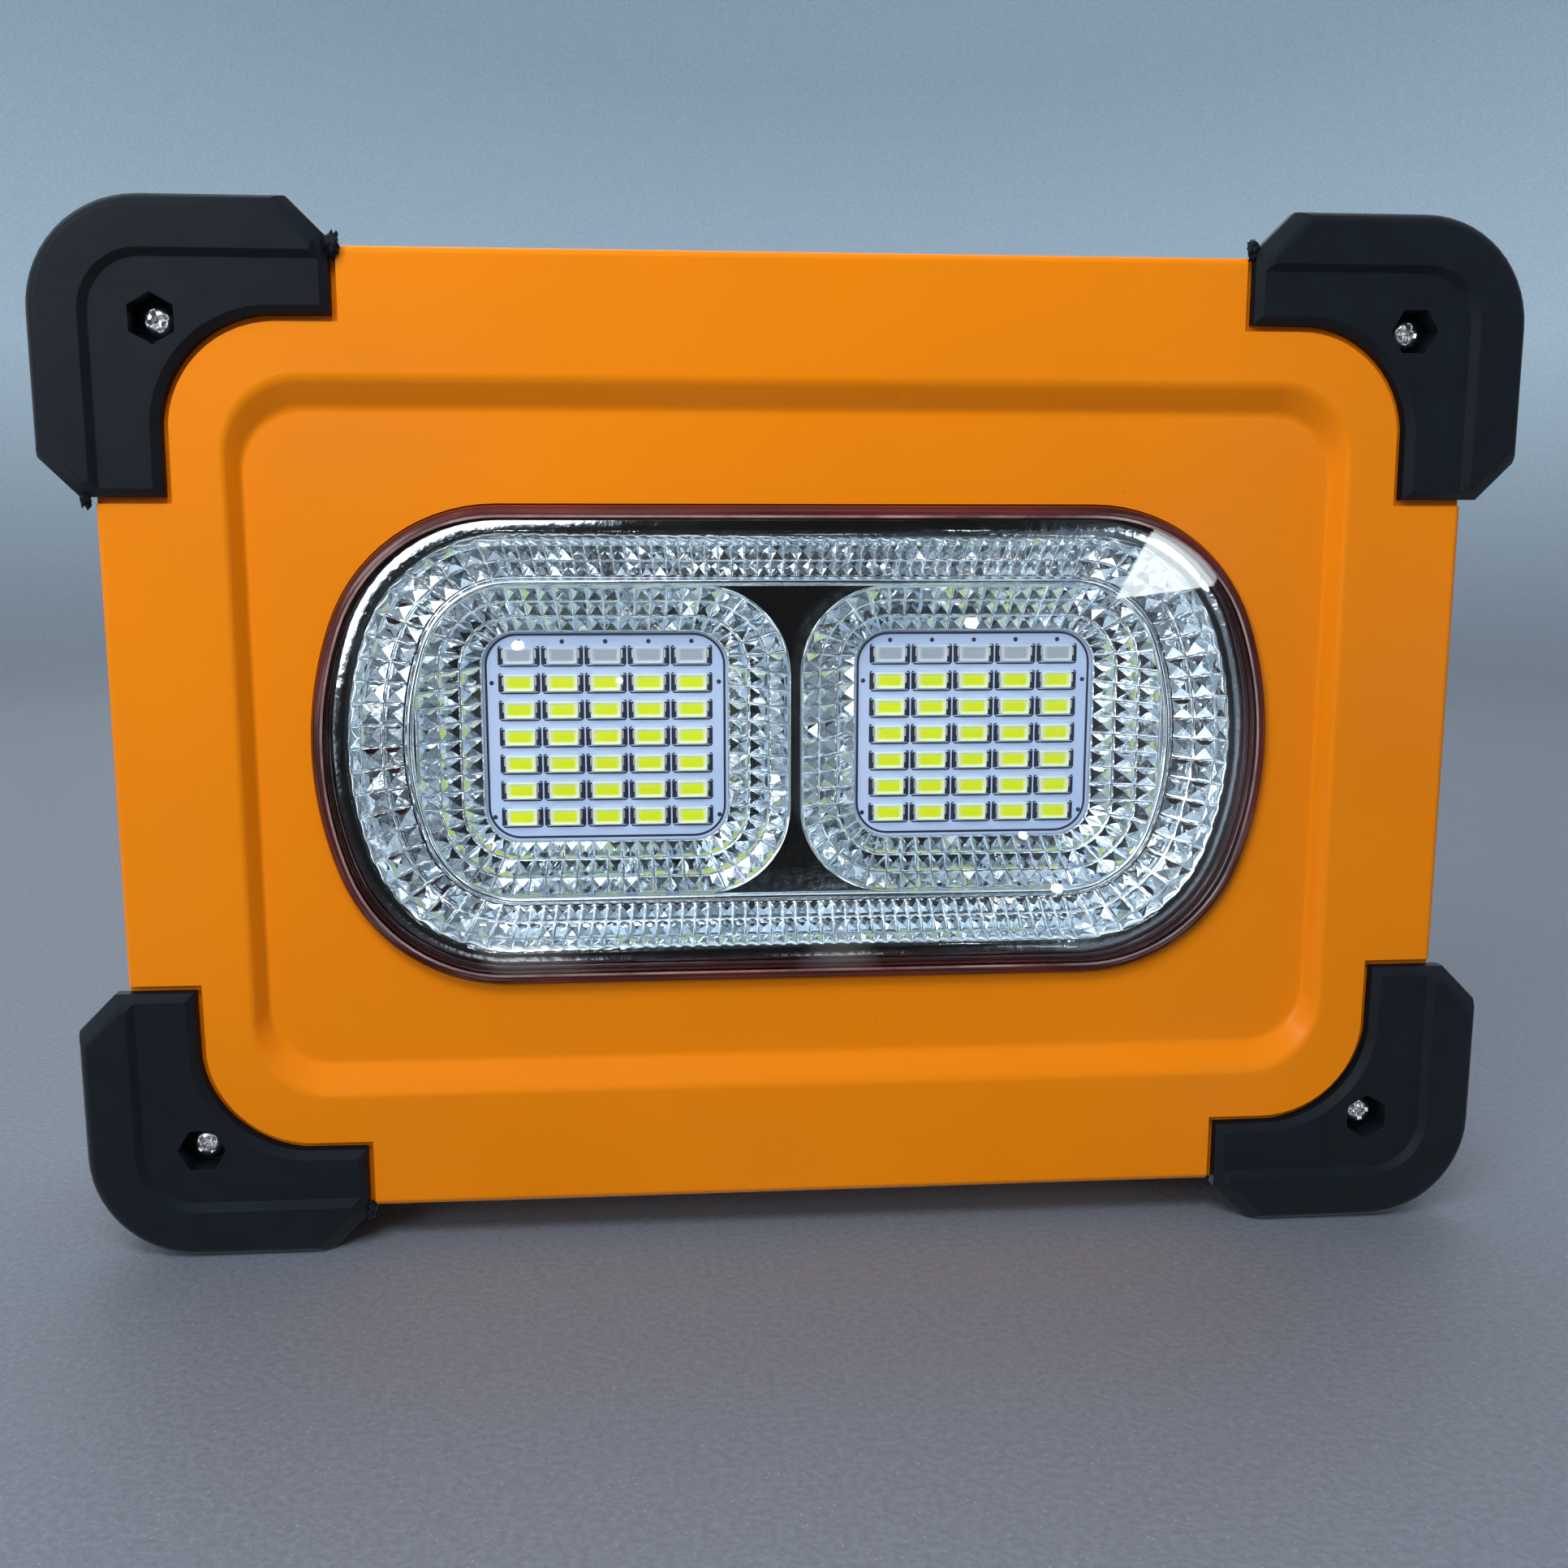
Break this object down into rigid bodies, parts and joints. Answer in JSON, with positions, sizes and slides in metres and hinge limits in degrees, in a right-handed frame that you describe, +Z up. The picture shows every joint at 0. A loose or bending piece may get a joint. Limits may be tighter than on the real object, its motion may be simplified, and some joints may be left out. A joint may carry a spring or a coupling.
{
  "type": "solar flood light",
  "caption": "Portable rechargeable LED flood light: orange case, black corner bumpers, faceted reflector behind a clear lens, solar panel and folding stand on the back.",
  "frame": {"origin": "centre of the footprint, at the flat undersides of the two lower corner bumpers", "axes": "+Z up, +X to the right seen from the front along the lamp's long side, the light shines towards -Y and the solar panel faces +Y"},
  "size_m": [0.234, 0.0542, 0.1684],
  "materials": {
    "case_orange": "semi-gloss moulded ABS",
    "seal_rubber": "matt silicone",
    "bumper_rubber": "matt moulded rubber",
    "zinc_screw": "bright zinc plate",
    "clear_lens": "clear polished polycarbonate",
    "gasket_red": "glossy dark red-brown sealant",
    "plated_reflector": "vacuum-plated plastic, mirror bright",
    "led_board_white": "white solder mask with yellow and clear LEDs",
    "aluminium_plate": "mill finish",
    "cell_wrap": "blue shrink wrap on steel cells",
    "black_plastic": "matt moulded plastic",
    "nickel_strip": "plain nickel",
    "circuit_board": "green solder mask with parts",
    "socket_steel": "bright pressed steel",
    "button_rubber": "matt",
    "clear_pipe": "clear acrylic",
    "solar_cell": "dark blue cells under clear resin",
    "foam_tape": "white foam tape",
    "coated_steel": "black powder coat",
    "lead_red": "red insulation",
    "lead_black": "black insulation",
    "lead_white": "white insulation",
    "lead_yellow": "yellow insulation"
  },
  "bodies": {
    "case": {"battery_cell_1": "cell_wrap", "battery_cell_2": "cell_wrap", "battery_cell_3": "cell_wrap", "battery_cell_4": "cell_wrap", "battery_lead_black": "lead_black", "battery_lead_red": "lead_red", "battery_spacer_bottom": "black_plastic", "battery_spacer_top": "black_plastic", "battery_strip_bottom": "nickel_strip", "battery_strip_top": "nickel_strip", "case_seal": "seal_rubber", "clip_screw_left_bottom": "zinc_screw", "clip_screw_left_top": "zinc_screw", "clip_screw_right_bottom": "zinc_screw", "clip_screw_right_top": "zinc_screw", "control_board": "circuit_board", "corner_bumper_bl": "bumper_rubber", "corner_bumper_br": "bumper_rubber", "corner_bumper_tl": "bumper_rubber", "corner_bumper_tr": "bumper_rubber", "corner_screw_bl": "zinc_screw", "corner_screw_br": "zinc_screw", "corner_screw_tl": "zinc_screw", "corner_screw_tr": "zinc_screw", "front_shell": "case_orange", "heat_spreader": "aluminium_plate", "led_board_left": "led_board_white", "led_board_right": "led_board_white", "led_lead_left": "lead_yellow", "led_lead_right": "lead_white", "lens": "clear_lens", "lens_gasket": "gasket_red", "light_pipe": "clear_pipe", "power_switch": "black_plastic", "rear_cover": "case_orange", "reflector": "plated_reflector", "reflector_screw_bl": "zinc_screw", "reflector_screw_br": "zinc_screw", "reflector_screw_tl": "zinc_screw", "reflector_screw_tr": "zinc_screw", "solar_lead_black": "lead_black", "solar_lead_red": "lead_red", "solar_panel": "solar_cell", "solar_tape": "foam_tape", "spreader_screw_bl": "zinc_screw", "spreader_screw_br": "zinc_screw", "spreader_screw_tl": "zinc_screw", "spreader_screw_tr": "zinc_screw", "stand_clip_left": "black_plastic", "stand_clip_right": "black_plastic", "usb_a_socket": "socket_steel", "usb_c_socket": "socket_steel"},
    "stand": {"stand": "coated_steel"},
    "port_cover": {"port_cover": "button_rubber"},
    "power_button": {"power_button": "button_rubber"}
  },
  "joints": [
    {"name": "stand_fold", "type": "hinge", "parent": "case", "child": "stand", "pos_m": [0, 0.0208, 0.1342], "axis": [1, 0, 0], "range_deg": [0, 180]},
    {"name": "port_cover_hinge", "type": "hinge", "parent": "case", "child": "port_cover", "pos_m": [0.1094, 0.02, 0.0642], "axis": [0, 0, 1], "range_deg": [0, 120]},
    {"name": "power_button_press", "type": "slide", "parent": "case", "child": "power_button", "axis": [-1, 0, 0], "range_m": [0, 0.0006], "stiffness_N_per_m": 2500}
  ]
}
